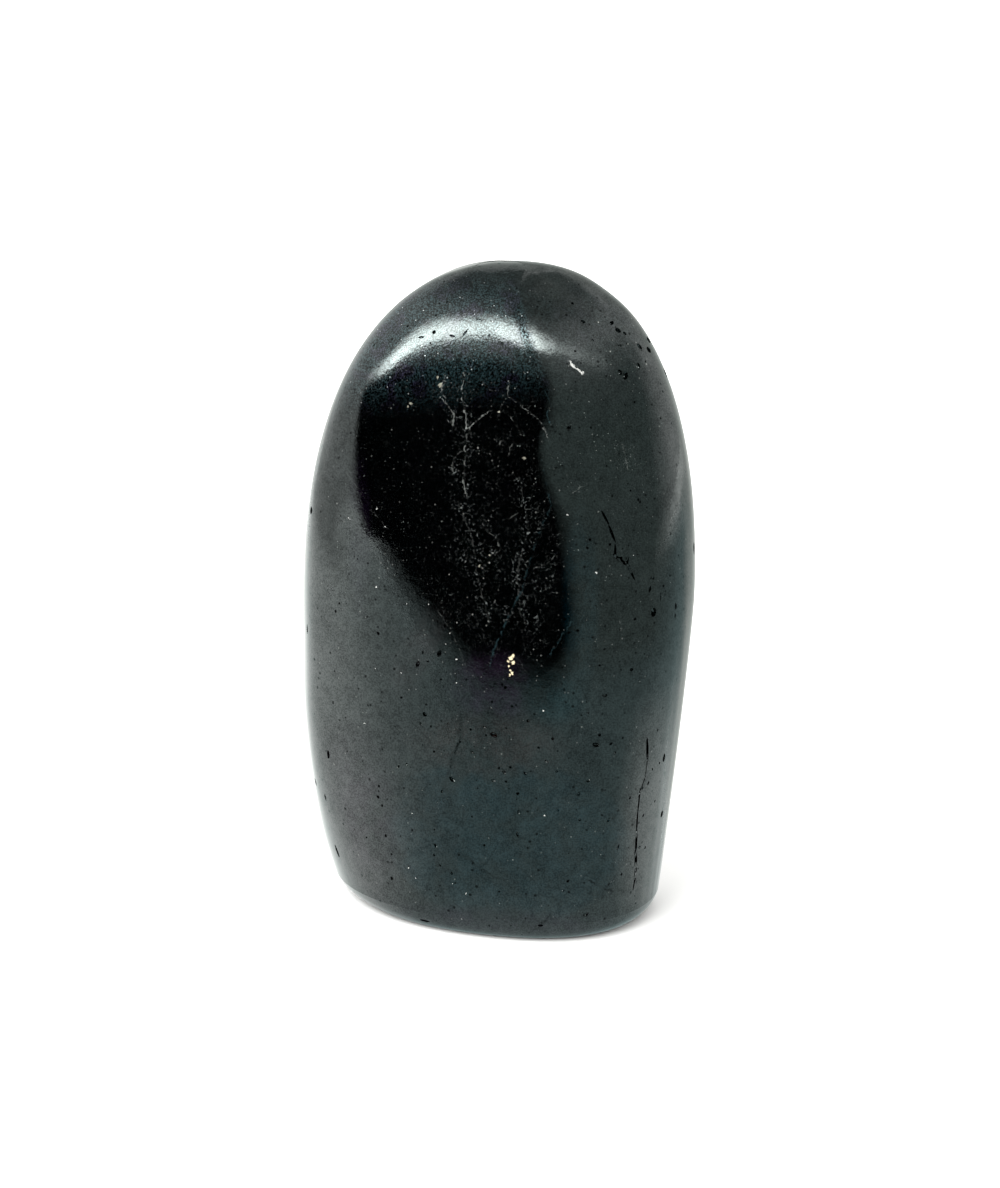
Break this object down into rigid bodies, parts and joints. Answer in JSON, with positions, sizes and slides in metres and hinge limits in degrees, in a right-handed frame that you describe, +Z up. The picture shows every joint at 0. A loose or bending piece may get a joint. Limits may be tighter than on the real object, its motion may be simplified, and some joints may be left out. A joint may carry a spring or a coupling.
{
  "type": "black tourmaline freeform",
  "caption": "Upright polished freeform of natural black tourmaline with a domed top, a soft ridge on its front and a sawn flat base, for display on a shelf or table.",
  "frame": {"origin": "middle of the sawn base's footprint, at the middle of the stone's outline in plan", "axes": "+Z up from the base to the dome; -Y is the broad front face, and the thickness runs along Y"},
  "size_m": [0.0598, 0.0372, 0.0984],
  "materials": {
    "black_tourmaline": "polished, with fine pits, open cracks and pale hairline veins"
  },
  "bodies": {
    "root": {"tourmaline": "black_tourmaline"}
  },
  "joints": []
}
